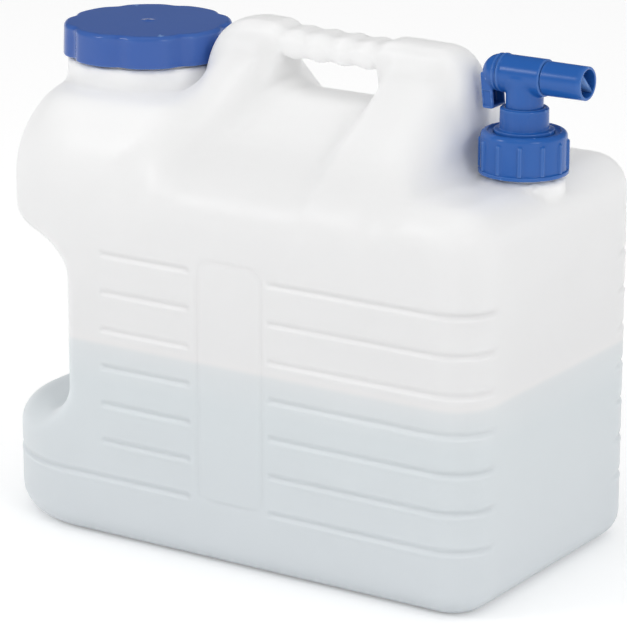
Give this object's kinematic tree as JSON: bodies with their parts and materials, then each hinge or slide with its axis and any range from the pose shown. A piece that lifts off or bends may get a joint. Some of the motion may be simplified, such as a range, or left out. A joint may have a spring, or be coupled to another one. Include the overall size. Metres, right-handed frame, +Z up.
{
  "type": "liquid dispenser canister",
  "caption": "Translucent upright liquid canister with a wide screw lid, moulded carrying handle, side hand-hold notch and a rotary tap on a union nut.",
  "frame": {"origin": "middle of the canister's base, on the surface it stands on", "axes": "+X towards the spout, +Y towards the back, +Z up"},
  "size_m": [0.3598, 0.191, 0.305],
  "materials": {
    "milky_shell": "milky translucent blow-moulded polyethylene, satin",
    "blue_lid": "glossy moulded polypropylene",
    "blue_tap": "semi-gloss moulded polypropylene",
    "seal": "matt elastomer"
  },
  "bodies": {
    "canister": {"canister": "milky_shell"},
    "lid_carrier": {"lid_gasket": "seal"},
    "lid": {"lid": "blue_lid"},
    "tap_carrier": {"tap_gasket": "seal"},
    "union_nut": {"tap_collar": "blue_tap"},
    "tap": {"tap_sleeve": "blue_tap", "tap_body": "blue_tap", "stem_seal": "seal"},
    "valve": {"tap_plug": "blue_tap", "tap_lever": "blue_tap", "plug_seal_front": "seal", "plug_seal_rear": "seal"}
  },
  "joints": [
    {"name": "lid_lift", "type": "slide", "parent": "canister", "child": "lid_carrier", "axis": [0, 0, 1], "range_m": [0, 0.02401]},
    {"name": "lid_turn", "type": "hinge", "parent": "lid_carrier", "child": "lid", "pos_m": [-0.1105, 0, 0.283], "axis": [0, 0, 1], "range_deg": [0, 1440]},
    {"name": "tap_lift", "type": "slide", "parent": "canister", "child": "tap_carrier", "axis": [0, 0, 1], "range_m": [0, 0.01601]},
    {"name": "nut_turn", "type": "hinge", "parent": "tap_carrier", "child": "union_nut", "pos_m": [0.1475, 0, 0.249], "axis": [0, 0, 1], "range_deg": [0, 1440]},
    {"name": "tap_swivel", "type": "hinge", "parent": "tap_carrier", "child": "tap", "pos_m": [0.1475, 0, 0.262], "axis": [0, 0, 1], "range_deg": [-110, 110]},
    {"name": "lever_turn", "type": "hinge", "parent": "tap", "child": "valve", "pos_m": [0.1475, 0, 0.292], "axis": [-1, 0, 0], "range_deg": [0, 90]}
  ],
  "couplings": [
    {"joint": "lid_lift", "follows": "lid_turn", "m_per_rad": 0.00095493},
    {"joint": "tap_lift", "follows": "nut_turn", "m_per_rad": 0.00063662}
  ]
}
